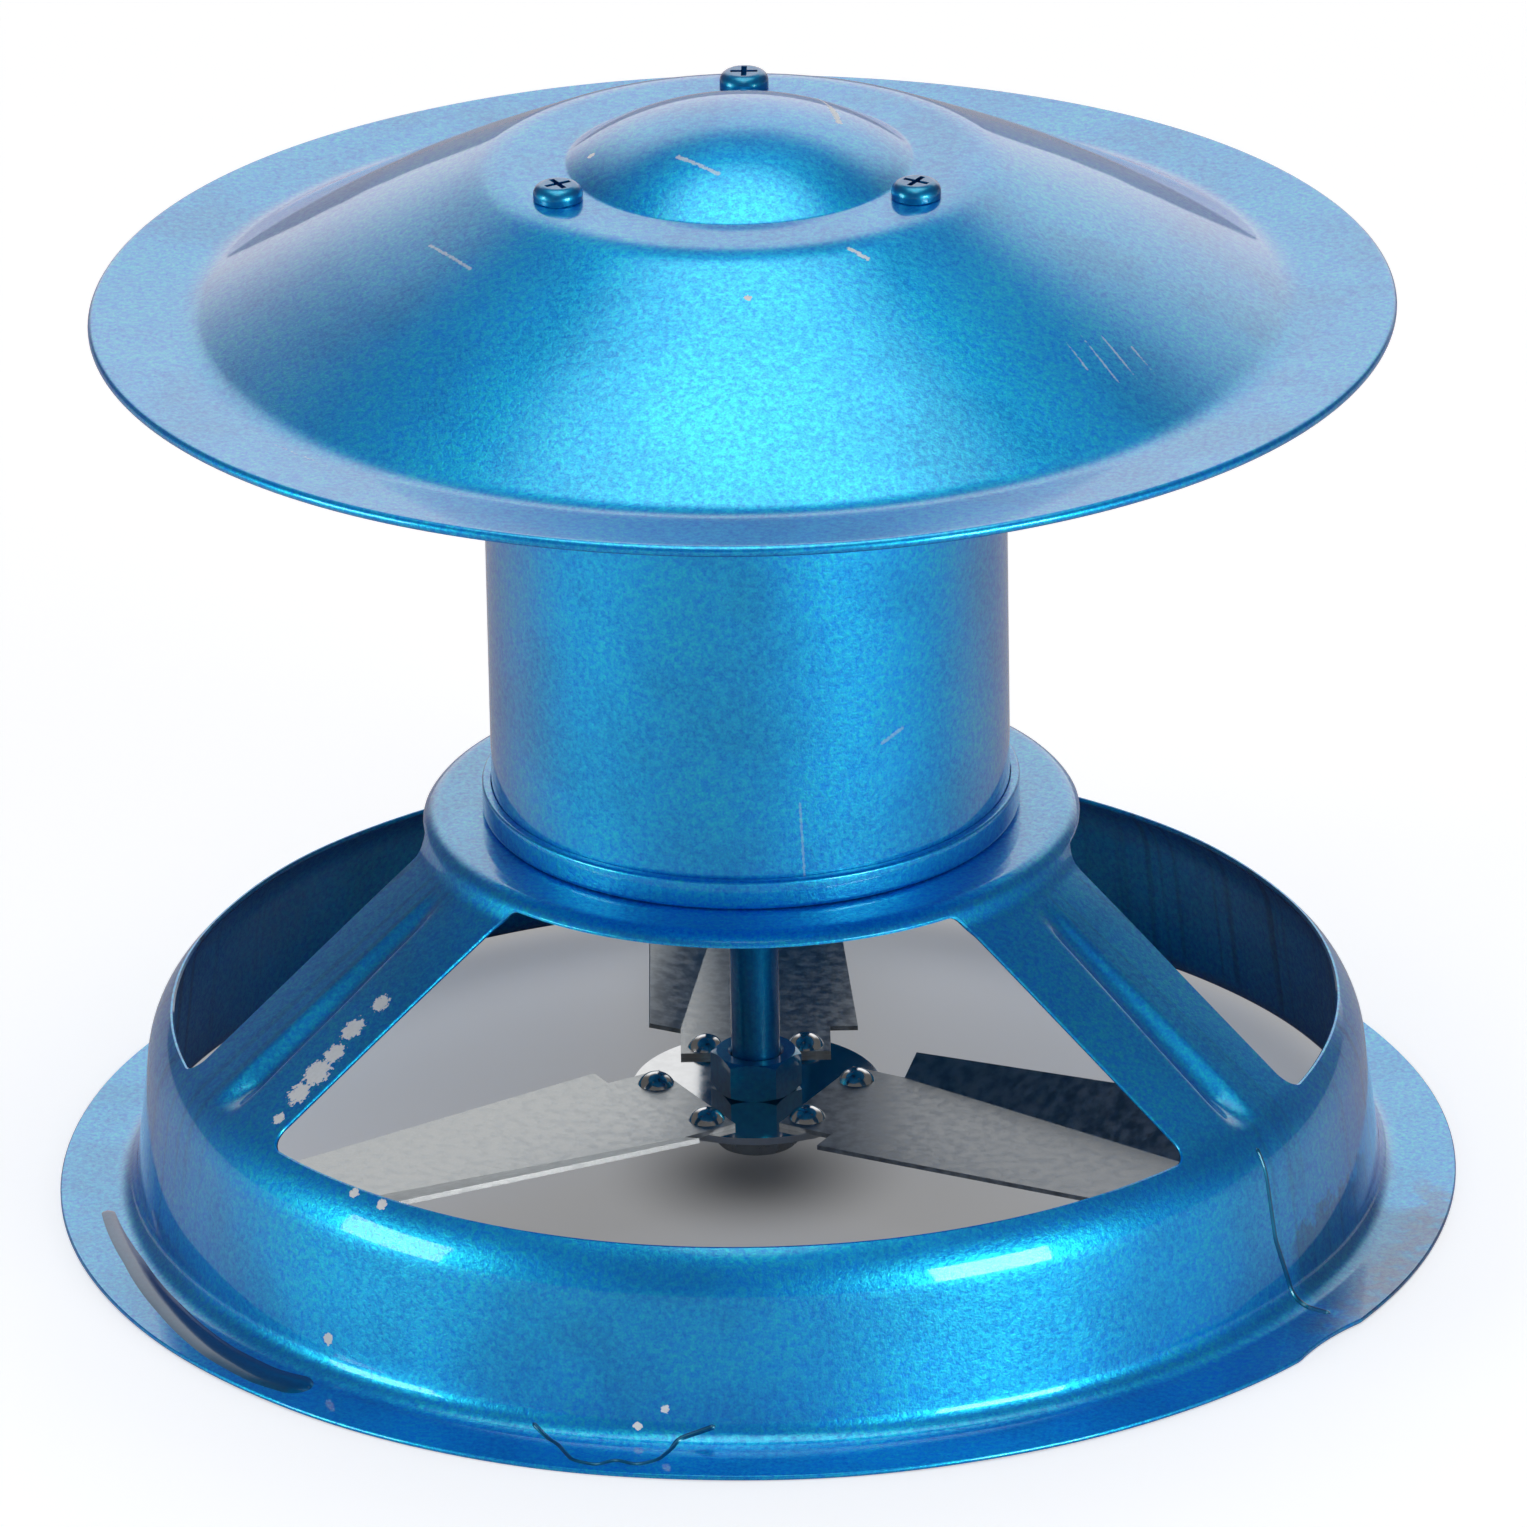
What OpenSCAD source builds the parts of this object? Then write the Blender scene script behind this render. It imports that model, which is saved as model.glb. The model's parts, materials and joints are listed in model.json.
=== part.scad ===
// Chimney draught fan. A pressed base on three legs carries an upright motor, whose shaft turns a
// three-bladed fan inside the base. Three long screws clamp cap, motor and base together.
// Heights are measured from the underside of the flange, which lies on the flue.

/* [Base] */
// Outer diameter of the flat flange
flange_d = 230; // [224:1:244]
// Thickness of the pressed sheet of base and cap
sheet_t = 0.8; // [0.6:0.1:1.1]
// Diameter at which the wall's line meets the flange
foot_d = 205.5; // [202:0.5:208]
// Diameter at the knee, where the lines of wall and legs cross
knee_d = 198.4; // [194:0.2:200]
// Height of that crossing
knee_h = 29.3; // [27:0.1:32]
// Diameter at which the legs' line meets the collar's steep edge
collar_d = 109.4; // [107:0.2:112]
// Height at which it meets it
collar_edge_h = 62.3; // [61:0.1:63.2]
// Height of the collar plate's top face
collar_h = 66.5; // [65.8:0.1:68]
// Slope of the collar's steep edge
collar_slope = 65; // [60:1:70]
// Diameter of the hole in the collar plate that the shaft passes through
collar_hole_d = 20; // [16:1:24]
// Bend radius at the foot, on the face that shows
foot_bend_r = 4; // [2:0.5:6]
// Bend radius at the knee
knee_bend_r = 14; // [8:1:16]
// Bend radius where the legs leave the collar
leg_bend_r = 4; // [2:0.5:5]
// Bend radius of the collar's shoulder
shoulder_bend_r = 3.5; // [2:0.5:4]

/* [Windows and legs] */
// Number of legs, and of windows between them
leg_count = 3; // [3:1:3]
// Width of a leg, with parallel sides
leg_w = 30.7; // [26:0.1:34]
// Diameter of the windows' sill
sill_d = 191.4; // [188:0.2:193]
// Diameter of the windows' upper edge, round the collar
window_top_d = 107.4; // [106:0.2:109]
// Corner radius at the sill
sill_corner_r = 2.5; // [1:0.5:4]
// Corner radius at the collar
collar_corner_r = 4; // [1:0.5:5]
// Radius of the round bottom of a leg's groove
groove_r = 4.2; // [3.5:0.1:5]
// Depth of the groove at the foot of the leg
groove_depth = 1.9; // [1:0.1:2.4]
// Depth of the groove at its upper end
groove_top_depth = 0.9; // [0.5:0.1:1.5]
// Distance of the groove's upper end below the collar
groove_start = 6; // [4:0.5:12]
// Length of the groove's straight stretch
groove_len = 40; // [25:1:42]
// Depth of the dent in the flange's edge
dent_depth = 1.2; // [0.6:0.1:2]
// Length of the dent along the edge
dent_len = 17; // [8:1:22]
// Direction of the dent from the X axis
dent_angle = -32.5; // [-60:0.5:0]

/* [Cap] */
// Outer diameter of the cap
cap_d = 210.4; // [200:0.2:220]
// Height of the brim's top face at the rim
cap_rim_h = 154.4; // [150:0.1:158]
// Rise of the brim from the bend to the rim
brim_rise = 0.8; // [0:0.1:2]
// Diameter at which the brim meets the cone
brim_d = 178; // [170:1:184]
// Height of the hemmed edge
hem_h = 1.8; // [1.7:0.1:2.4]
// Width of the hem folded under the brim
hem_w = 4; // [2:0.5:6]
// Height of the flat shelf that carries the screw heads
shelf_h = 178.6; // [176:0.1:184]
// Outer diameter of the shelf
shelf_d = 79; // [78:0.5:84]
// Diameter of the dome at the shelf
dome_d = 56; // [52:0.5:58]
// Height of the dome above the shelf
dome_h = 8.4; // [7:0.1:10]
// Bend radius between brim and cone
brim_bend_r = 9; // [4:1:14]
// Outward bulge of the cone at its middle
cone_bulge = 0.7; // [0.2:0.1:1.2]
// Radius of that bulge along the slope
cone_bulge_r = 300; // [200:10:500]
// Bend radius of the shelf's outer edge
shelf_bend_r = 5; // [2:0.5:6]
// Bend radius at the foot of the dome
dome_foot_r = 1.5; // [1:0.5:3]

/* [Motor housing] */
// Outer diameter of the motor tube
casing_d = 84.6; // [83.6:0.1:85.2]
// Wall of the motor tube
casing_wall = 1; // [0.8:0.1:1.2]
// Outer diameter of the lower end cover's rim
cover_d = 87.6; // [87:0.1:90]
// Height of that rim
cover_h = 5; // [4:0.1:7]
// Floor of the end covers
cover_floor = 1.6; // [1.2:0.1:2]
// Distance of the upper end cover's lip below the cap's shelf, which clears the cone
lip_fall = 2.4; // [2.3:0.1:3]
// Thickness of that lip
lip_t = 1.4; // [1:0.1:2]
// Height of the bearing seats over the covers' floors
seat_h = 0.9; // [0.5:0.1:1.4]
// Depth to which the upper end cover enters the tube
spigot_len = 7; // [5:0.5:10]
// Wall of that spigot
spigot_wall = 1.6; // [1.2:0.1:2]
// Outer diameter of the bearing bosses
boss_d = 28; // [26:0.5:30]
// Height of the upper boss above the cap's shelf, inside the dome
boss_rise = 4; // [3:0.1:4.2]
// Thickness of the upper boss over the shaft's end
boss_roof = 2.4; // [1.5:0.1:2.4]
// Thickness of the stiffening ribs in the end covers
rib_t = 2; // [1.5:0.1:3]
// Height of those ribs over the covers' floors
rib_h = 4; // [2:0.5:5]
// Number of ribs in an end cover
rib_count = 6; // [3:3:6]
// Clearance between parts that slip together
slip = 0.1; // [0.05:0.01:0.2]
// Diameter of the lead's hole in the motor tube
inlet_d = 10; // [8:0.5:12]
// Height of that hole above the collar plate
inlet_h = 22; // [18:1:28]
// Direction of that hole from the X axis
inlet_angle = 124; // [110:1:140]
// Bore of the grommet
grommet_bore = 6; // [4:0.5:7]
// Width of the grommet's flanges beyond the hole
grommet_lip = 2; // [1:0.25:3]
// Thickness of the grommet's flanges
grommet_t = 1.6; // [1:0.1:2]

/* [Tie screws] */
// Number of screws that clamp cap, motor and base
tie_count = 3; // [3:1:3]
// Thread diameter of the screws
tie_d = 4; // [3.5:0.5:4]
// Diameter of the circle they stand on
tie_pcd = 65.8; // [64.6:0.1:66.4]
// Turn of the screws from the legs' centre lines
tie_turn = 2.8; // [0:0.1:5]
// Diameter of the pan heads
tie_head_d = 8; // [7:0.5:8.5]
// Height of the pan heads
tie_head_h = 2.7; // [2:0.1:3]
// Clearance of the screws in their holes, on the diameter
tie_slack = 0.5; // [0.3:0.1:0.6]
// Width of the nuts across flats
tie_nut_af = 7; // [6:0.5:8]
// Height of the nuts
tie_nut_h = 3.2; // [2.4:0.1:4]
// Diameter of the washers
tie_washer_d = 9; // [8:0.5:10]
// Thickness of the washers
tie_washer_t = 0.8; // [0.6:0.1:1]
// Thread that stands out of the nuts
tie_tail = 2.4; // [1:0.1:5]
// Width of the cross recess's slots
recess_w = 0.9; // [0.7:0.1:1.1]
// Length of the slots
recess_len = 4.4; // [3:0.1:5]
// Depth of the slots
recess_depth = 1.3; // [0.8:0.1:1.5]

/* [Stator and rotor] */
// Length of the laminated stacks
stack_len = 36; // [28:1:44]
// Diameter of the rotor
rotor_d = 35; // [32:0.5:36]
// Gap between rotor and stator
air_gap = 0.4; // [0.3:0.05:0.6]
// Inner diameter of the stator's yoke
yoke_inner_d = 60; // [59:0.2:60.6]
// Number of salient poles
pole_count = 4; // [4:1:4]
// Width of a pole's neck
pole_neck_w = 12; // [9:0.5:12.5]
// Thickness of the pole shoes at their middle
shoe_t = 3; // [2.5:0.1:3.2]
// Half angle that a pole shoe covers
shoe_half_angle = 36; // [30:1:40]
// Width of a coil's side
coil_side = 5.4; // [4:0.1:5.5]
// Length of a coil's end beyond the stack
coil_end = 6; // [4:0.5:8]
// Gap that the slot paper fills round a coil
paper_gap = 0.3; // [0.2:0.05:0.4]
// Diameter of the copper shading rings' bar
shading_bar = 1.6; // [1:0.1:1.8]
// Number of bars in the rotor's cage
cage_bars = 16; // [12:1:18]
// Diameter of the cage's bars
cage_bar_d = 2.8; // [2:0.1:3]
// Distance of the bars' outside below the rotor's surface
cage_skin = 0.8; // [0.5:0.1:1.2]
// Length of the cage's end rings
cage_ring_h = 5; // [3:0.5:7]
// Width of the cage's end rings
cage_ring_w = 6; // [4:0.5:7]

/* [Shaft and bearings] */
// Diameter of the shaft, which its bearings and its nuts take
shaft_d = 8; // [8:1:8]
// Diameter of the shaft between the bearings
shaft_body_d = 10; // [9.5:0.25:10.5]
// Height of the shaft's lower end
shaft_end_h = 4.4; // [2:0.1:4.6]
// Chamfer of the shaft's ends
shaft_chamfer = 0.7; // [0.3:0.1:1]
// Outer diameter of the ball bearings
bearing_d = 22; // [22:1:22]
// Width of the ball bearings
bearing_w = 7; // [7:1:7]
// Diameter of the balls
ball_d = 3.96; // [3.6:0.02:4]
// Number of balls
ball_count = 7; // [6:1:7]
// Diameter of the balls' circle
ball_circle_d = 15; // [14.8:0.1:15.2]
// Clearance between a ball and the bottom of its groove
ball_play = 0.04; // [0.02:0.01:0.08]
// Depth of the ball grooves
race_depth = 0.6; // [0.4:0.05:0.7]
// Height of the ball cages
cage_h = 4.8; // [4.4:0.1:5.6]
// Thickness of the wave washer's sheet
wave_t = 0.4; // [0.3:0.05:0.5]
// Room for the wave washer above the upper bearing
wave_room = 1; // [0.8:0.1:1.2]

/* [Fan] */
// Turn of the first blade from the first leg's centre line
fan_turn = 4.5; // [-30:0.5:30]
// Number of blades
blade_count = 3; // [3:1:3]
// Height of the hub plate's top face
hub_h = 15.3; // [15:0.1:18]
// Diameter of the hub plate
hub_d = 41; // [40:0.5:46]
// Thickness of the hub plate
hub_t = 1.2; // [1:0.1:1.5]
// Radius of the blade tips
tip_r = 88; // [76:1:91]
// Thickness of the blades' sheet
blade_t = 0.8; // [0.6:0.1:1]
// Width of a blade's neck
neck_w = 24.8; // [24:0.2:28]
// Distance of the neck's inner end from the axis
neck_start = 11.3; // [9.5:0.1:12]
// Distance of the blade's shoulders from the axis
shoulder_x = 21; // [20.6:0.2:26]
// Reach of the plain edge at the shoulder, from the blade's centre line
plain_edge_root = 17; // [14.4:0.2:20]
// Reach of the plain edge at the tip
plain_edge_tip = 13; // [10:0.5:17]
// Reach of the folded edge, measured on the flat sheet
fold_edge = 17.6; // [14.6:0.2:20]
// Distance of the crease from the centre line at the tip
crease_tip = 3; // [0:0.5:8]
// Angles through which the flaps of the rear, left and right blade are bent up
fold_angles = [13, 20, 33]; // [8:1:34]
// Diameter of the circle the rivets stand on
rivet_pcd = 33; // [32:0.5:35]
// Half angle between a blade's two rivets
rivet_half_angle = 30; // [28:1:33]
// Diameter of the rivets' shanks
rivet_d = 3; // [2.5:0.1:3.2]
// Diameter of the rivets' domed heads
rivet_head_d = 6; // [5:0.1:6.4]
// Height of the rivets' domed heads
rivet_head_h = 1.9; // [1.2:0.1:2.4]
// Diameter of the rivets' flattened tails
rivet_tail_d = 4.6; // [4:0.1:5]
// Height of the rivets' flattened tails
rivet_tail_h = 1; // [0.6:0.1:1.2]

/* [Hub nuts] */
// Width of the hub nuts across flats
hub_nut_af = 13; // [12:0.5:14]
// Height of the hub nuts
hub_nut_h = 6.5; // [5:0.1:6.5]
// Clearance of what slips over the shaft, on the diameter
shaft_slack = 0.06; // [0.04:0.01:0.1]
// Outer diameter of the spring washer
spring_washer_d = 13; // [12:0.5:14]
// Thickness of the spring washer
spring_washer_t = 2; // [1.2:0.1:2]
// Width of the slit in the spring washer
spring_washer_slit = 1.2; // [0.6:0.1:2]

/* [Hidden] */

$fn = 96;
// Angle of one step round a bend, round a window's curved edge and round the end of a groove
bend_step = 6;
edge_step = 3;
end_step = 15;
// Overshoot of a cutting tool past the face it opens
past = 1;
// Bend radius of the blades' crease, on the upper face
fold_r = 0.8;
// Direction of the first leg
first_leg = 90;
paint_blue = [0.10, 0.47, 0.78];
zinc = [0.69, 0.70, 0.70];
bright_steel = [0.78, 0.79, 0.80];
dark_steel = [0.35, 0.36, 0.38];
copper = [0.72, 0.40, 0.24];
cast_grey = [0.62, 0.63, 0.65];

// The motor's levels, from the collar plate up to the cap's shelf
collar_low_h = collar_h - sheet_t;
casing_low_h = collar_h + cover_floor;
lower_bearing_h = casing_low_h + seat_h;
shelf_low_h = shelf_h - sheet_t;
boss_top_h = shelf_h + boss_rise;
upper_bearing_h = boss_top_h - boss_roof - wave_room - bearing_w;
lip_top_h = shelf_low_h - lip_fall;
lip_fall_w = 1.6;
casing_top_h = lip_top_h - lip_t;
// Height of a boss's rim beyond its bearing, and chamfer of the upper boss
boss_rim = 0.5;
boss_edge = 1;
stack_low_h = (casing_low_h + casing_top_h - stack_len) / 2;
casing_r = casing_d / 2;
casing_inner_r = casing_r - casing_wall;
boss_r = boss_d / 2;
close_slip = slip / 5;
pocket_r = bearing_d / 2 + close_slip;
// The covers' shaft hole clears the bearing's inner ring
cover_hole_r = ball_circle_d / 2;
tie_first = first_leg + tie_turn;
tie_hole_r = (tie_d + tie_slack) / 2;
stator_inner_r = rotor_d / 2 + air_gap;
pole_first = tie_first + 180 / pole_count;
hub_low_h = hub_h - hub_t;
blade_top_h = hub_h + blade_t;
hub_bore_r = (shaft_d + shaft_slack) / 2;

// Plane geometry for folded sheet

function unit(v) = v / norm(v);
function left(v) = [-v.y, v.x];
function polar(r, a) = r * [cos(a), sin(a)];
function backwards(p) = [for (i = [len(p) - 1 : -1 : 0]) p[i]];

// Points round the bend at b on the way from a to c. The bend has radius r on the path itself, and
// the points lie s to the left of the path.
function bend(a, b, c, r, s = 0) =
    let (u = unit(b - a),
         w = unit(c - b),
         turn = atan2(cross(u, w), u * w),
         way = sign(turn),
         centre = b - u * r * tan(abs(turn) / 2) + left(u) * way * r,
         start = atan2(-way * left(u).y, -way * left(u).x),
         steps = max(2, ceil(abs(turn) / bend_step)))
    [for (i = [0 : steps]) centre + polar(r - way * s, start + turn * i / steps)];

// One face of a folded sheet whose path has the corners p with bend radii r
function face(p, r, s) =
    let (last = len(p) - 1)
    concat([p[0] + left(unit(p[1] - p[0])) * s],
        [for (i = [1 : last - 1]) each bend(p[i - 1], p[i], p[i + 1], r[i], s)],
        [p[last] + left(unit(p[last] - p[last - 1])) * s]);

// Section of a sheet of thickness t, with the path along the face on its left
function sheet(p, r, t) = concat(face(p, r, 0), backwards(face(p, r, -t)));

// Repeats its child round the axis
module around(count, first) {
    for (i = [0 : count - 1])
        rotate([0, 0, first + i * 360 / count])
            children();
}

// A disc or ring standing on height z
module ring(z, h, r_out, r_in) {
    translate([0, 0, z])
        difference() {
            cylinder(h = h, r = r_out);
            translate([0, 0, -past])
                cylinder(h = h + 2 * past, r = r_in);
        }
}

// Base shell

leg_top = [collar_d / 2, collar_edge_h];
knee = [knee_d / 2, knee_h];
shoulder = [collar_d / 2 - (collar_h - collar_edge_h) / tan(collar_slope), collar_h];
base_path = [[collar_hole_d / 2, collar_h], shoulder, leg_top, knee, [foot_d / 2, sheet_t],
    [flange_d / 2, sheet_t]];
base_bends = [0, shoulder_bend_r, leg_bend_r, knee_bend_r, foot_bend_r, 0];

// Corner of a window at radius r, on the side of the leg that lies at +60 degrees from its middle
function window_angle(r) = 180 / leg_count - asin(leg_w / 2 / r);
function along(a) = [-sin(a), cos(a)];

// Outline of the window round the direction 0: a sector with parallel-sided legs beside it
function window_outline() =
    let (ri = window_top_d / 2,
         ro = sill_d / 2,
         ai = window_angle(ri),
         ao = window_angle(ro),
         p = polar(ri, -ai),
         q = polar(ro, -ao),
         v = polar(ro, ao),
         w = polar(ri, ai),
         mo = ao - 2 * sill_corner_r / ro * 180 / PI,
         mi = ai - 2 * collar_corner_r / ri * 180 / PI)
    concat(bend(p, q, q + along(-ao), sill_corner_r),
        [for (i = [0 : edge_step : 2 * mo]) polar(ro, i - mo)],
        bend(v - along(ao), v, w, sill_corner_r),
        bend(v, w, w - along(ai), collar_corner_r),
        [for (i = [0 : edge_step : 2 * mi]) polar(ri, mi - i)],
        bend(p + along(-ai), p, q, collar_corner_r));

// Round-ended bar lying along a leg: its lower side presses the groove into the sheet
module groove_bar(r) {
    down = unit(knee - leg_top);
    low = leg_top + down * groove_start + left(down) * (groove_r - groove_top_depth);
    high = leg_top + down * (groove_start + groove_len) + left(down) * (groove_r - groove_depth);
    length = norm(high - low);
    translate([low.x, 0, low.y])
        rotate([0, atan2(high.x - low.x, high.y - low.y), 0])
            rotate_extrude()
                polygon(concat([for (t = [-90 : end_step : 0]) polar(r, t)],
                    [for (t = [0 : end_step : 90]) [0, length] + polar(r, t)]));
}

// All that lies under the base's upper face
module under_base_face() {
    rotate_extrude()
        polygon(concat([[0, 0], [0, collar_h]], face(base_path, base_bends, 0), [[flange_d / 2, 0]]));
}

module base_shell() {
    dent_r = (dent_len * dent_len / 4 + dent_depth * dent_depth) / (2 * dent_depth);
    color(paint_blue)
        difference() {
            union() {
                rotate_extrude()
                    polygon(sheet(base_path, base_bends, sheet_t));
                intersection() {
                    under_base_face();
                    around(leg_count, first_leg)
                        groove_bar(groove_r + sheet_t);
                }
            }
            around(leg_count, first_leg)
                groove_bar(groove_r);
            around(leg_count, first_leg + 180 / leg_count)
                translate([0, 0, sheet_t + foot_bend_r])
                    linear_extrude(collar_h)
                        polygon(window_outline());
            around(tie_count, tie_first)
                translate([tie_pcd / 2, 0, collar_low_h - past])
                    cylinder(h = sheet_t + 2 * past, r = tie_hole_r);
            rotate([0, 0, dent_angle])
                translate([flange_d / 2 + dent_r - dent_depth, 0, -past])
                    cylinder(h = sheet_t + 2 * past, r = dent_r);
        }
}

// Motor housing

module cover_ribs(z, h) {
    around(rib_count, tie_first + 180 / rib_count)
        translate([boss_r - 0.5, -rib_t / 2, z])
            cube([casing_inner_r - spigot_wall - boss_r + 1, rib_t, h]);
}

module tie_holes(z, h) {
    around(tie_count, tie_first)
        translate([tie_pcd / 2, 0, z])
            cylinder(h = h, r = tie_hole_r);
}

module lower_end_cover() {
    rim_r = cover_d / 2;
    seat_r = casing_r + slip;
    boss_h = lower_bearing_h + bearing_w + boss_rim;
    color(paint_blue)
        difference() {
            union() {
                rotate_extrude()
                    polygon(concat(
                        [[cover_hole_r, collar_h]],
                        bend([0, collar_h], [rim_r, collar_h], [rim_r, collar_h + cover_h], 1),
                        bend([rim_r, collar_h], [rim_r, collar_h + cover_h], [0, collar_h + cover_h], 0.5),
                        [[seat_r, collar_h + cover_h], [seat_r, casing_low_h], [boss_r, casing_low_h],
                            [boss_r, boss_h], [pocket_r, boss_h], [pocket_r, lower_bearing_h],
                            [cover_hole_r, lower_bearing_h]]));
                cover_ribs(casing_low_h - cover_floor / 2, rib_h + cover_floor / 2);
            }
            tie_holes(collar_h - past, cover_floor + 2 * past);
        }
}

module casing() {
    color(paint_blue)
        difference() {
            ring(casing_low_h, casing_top_h - casing_low_h, casing_r, casing_inner_r);
            rotate([0, 0, inlet_angle])
                translate([0, 0, collar_h + inlet_h])
                    rotate([0, 90, 0])
                        cylinder(h = casing_r + past, r = inlet_d / 2);
        }
}

module upper_end_cover() {
    spigot_r = casing_inner_r - slip;
    spigot_inner_r = spigot_r - spigot_wall;
    spigot_low_h = casing_top_h - spigot_len;
    ceiling_h = shelf_low_h - cover_floor;
    mouth_h = upper_bearing_h - boss_rim;
    roof_h = boss_top_h - boss_roof;
    color(cast_grey)
        difference() {
            union() {
                rotate_extrude()
                    polygon([[0, roof_h], [pocket_r, roof_h], [pocket_r, mouth_h], [boss_r, mouth_h],
                        [boss_r, ceiling_h], [spigot_inner_r, ceiling_h - spigot_wall],
                        [spigot_inner_r, spigot_low_h], [spigot_r, spigot_low_h],
                        [spigot_r, casing_top_h], [casing_r, casing_top_h], [casing_r, lip_top_h],
                        [shelf_d / 2 - lip_fall_w, shelf_low_h], [boss_r, shelf_low_h],
                        [boss_r, boss_top_h - boss_edge], [boss_r - boss_edge, boss_top_h],
                        [0, boss_top_h]]);
                cover_ribs(ceiling_h - rib_h, rib_h + cover_floor / 2);
            }
            tie_holes(ceiling_h - rib_h, cover_floor + rib_h + past);
        }
}

module cable_grommet() {
    lip_r = inlet_d / 2 + grommet_lip;
    color([0.06, 0.06, 0.07])
        rotate([0, 0, inlet_angle])
            translate([0, 0, collar_h + inlet_h])
                difference() {
                    union() {
                        rotate([0, 90, 0])
                            cylinder(h = casing_r + grommet_t, r = inlet_d / 2 - slip);
                        difference() {
                            rotate([0, 90, 0])
                                cylinder(h = casing_r + grommet_t, r = lip_r);
                            translate([0, 0, -lip_r - past])
                                cylinder(h = 2 * (lip_r + past), r = casing_r);
                        }
                        intersection() {
                            rotate([0, 90, 0])
                                cylinder(h = casing_r, r = lip_r);
                            translate([0, 0, -lip_r - past])
                                cylinder(h = 2 * (lip_r + past), r = casing_inner_r);
                        }
                    }
                    rotate([0, 90, 0])
                        cylinder(h = casing_r + grommet_t + past, r = grommet_bore / 2);
                    rotate([0, 90, 0])
                        cylinder(h = casing_inner_r - grommet_t - 1, r = lip_r + past);
                }
}

// Cap

dome_r = (dome_d * dome_d / 4 + dome_h * dome_h) / (2 * dome_h);
dome_tangent_x = dome_r * tan(asin(dome_d / 2 / dome_r) / 2);
brim = [brim_d / 2, cap_rim_h - brim_rise];
shelf_edge = [shelf_d / 2, shelf_h];
cone_middle = (brim + shelf_edge) / 2 + left(unit(brim - shelf_edge)) * cone_bulge;
cap_path = [[0, shelf_h + dome_h], [dome_tangent_x, shelf_h + dome_h], [dome_d / 2, shelf_h], shelf_edge,
    cone_middle, brim, [cap_d / 2, cap_rim_h], [cap_d / 2, cap_rim_h - hem_h],
    [cap_d / 2 - hem_w, cap_rim_h - hem_h - brim_rise * hem_w / (cap_d - brim_d) * 2]];
// The dome's arc ends a little short of the bend at its foot
dome_bend_r = dome_r - 1.2 * dome_foot_r;
cap_bends = [0, dome_bend_r, dome_foot_r, shelf_bend_r, cone_bulge_r, brim_bend_r, hem_h / 2, hem_h / 2, 0];

module cap() {
    color(paint_blue)
        difference() {
            rotate_extrude()
                polygon(sheet(cap_path, cap_bends, sheet_t));
            tie_holes(shelf_low_h - past, sheet_t + 2 * past);
        }
}

// Tie screws

washer_h = collar_low_h - tie_washer_t;
nut_h = washer_h - tie_nut_h;

// Pan head standing on z = 0, with its cross recess
module pan_head() {
    difference() {
        rotate_extrude()
            polygon(concat([[0, 0]],
                bend([0, 0], [tie_head_d / 2, 0], [tie_head_d / 2, tie_head_h], 0.3),
                bend([tie_head_d / 2, 0], [tie_head_d / 2, tie_head_h], [0, tie_head_h], 1.7),
                [[0, tie_head_h]]));
        for (turn = [0, 90])
            rotate([0, 0, turn])
                translate([-recess_len / 2, -recess_w / 2, tie_head_h - recess_depth])
                    cube([recess_len, recess_w, recess_depth + past]);
    }
}

module tie_screws() {
    color(paint_blue)
        around(tie_count, tie_first)
            translate([tie_pcd / 2, 0, 0]) {
                translate([0, 0, shelf_h])
                    pan_head();
                translate([0, 0, nut_h - tie_tail])
                    cylinder(h = shelf_h - nut_h + tie_tail, r = tie_d / 2);
            }
}

module tie_washers() {
    color(zinc)
        around(tie_count, tie_first)
            translate([tie_pcd / 2, 0, 0])
                ring(washer_h, tie_washer_t, tie_washer_d / 2, tie_hole_r);
}

// Hexagon nut standing on z = 0 across flats af, its corners turned off at both ends
module hex_nut(af, h, bore_r) {
    corner_r = af / 2 / cos(30);
    fall = (corner_r - af / 2) * tan(30);
    difference() {
        intersection() {
            cylinder(h = h, r = corner_r, $fn = 6);
            rotate_extrude()
                polygon([[0, 0], [af / 2, 0], [corner_r, fall], [corner_r, h - fall], [af / 2, h], [0, h]]);
        }
        rotate_extrude()
            polygon([[0, -past], [bore_r + past + 0.6, -past], [bore_r, 0.6], [bore_r, h - 0.6],
                [bore_r + past + 0.6, h + past], [0, h + past]]);
    }
}

module tie_nuts() {
    color(zinc)
        around(tie_count, tie_first)
            translate([tie_pcd / 2, 0, nut_h])
                hex_nut(tie_nut_af, tie_nut_h, tie_d / 2 + close_slip);
}

// Stator and coils

module stator_core() {
    shoe_r = stator_inner_r + shoe_t;
    color(dark_steel)
        translate([0, 0, stack_low_h])
            difference() {
                linear_extrude(stack_len)
                    difference() {
                        union() {
                            difference() {
                                circle(r = casing_inner_r - slip);
                                circle(r = yoke_inner_d / 2);
                            }
                            around(pole_count, pole_first)
                                translate([stator_inner_r, -pole_neck_w / 2])
                                    square([yoke_inner_d / 2 - stator_inner_r + 1, pole_neck_w]);
                            intersection() {
                                circle(r = shoe_r);
                                around(pole_count, pole_first)
                                    polygon([[0, 0], polar(2 * shoe_r, -shoe_half_angle),
                                        polar(2 * shoe_r, shoe_half_angle)]);
                            }
                        }
                        circle(r = stator_inner_r);
                        around(pole_count, pole_first + shoe_half_angle * 0.6)
                            translate([stator_inner_r + shoe_t / 2, 0])
                                circle(d = shading_bar + 2 * close_slip);
                        around(pole_count, pole_first + shoe_half_angle)
                            translate([shoe_r, 0])
                                circle(d = shading_bar + slip);
                    }
                tie_holes(-past, stack_len + 2 * past);
            }
}

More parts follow.
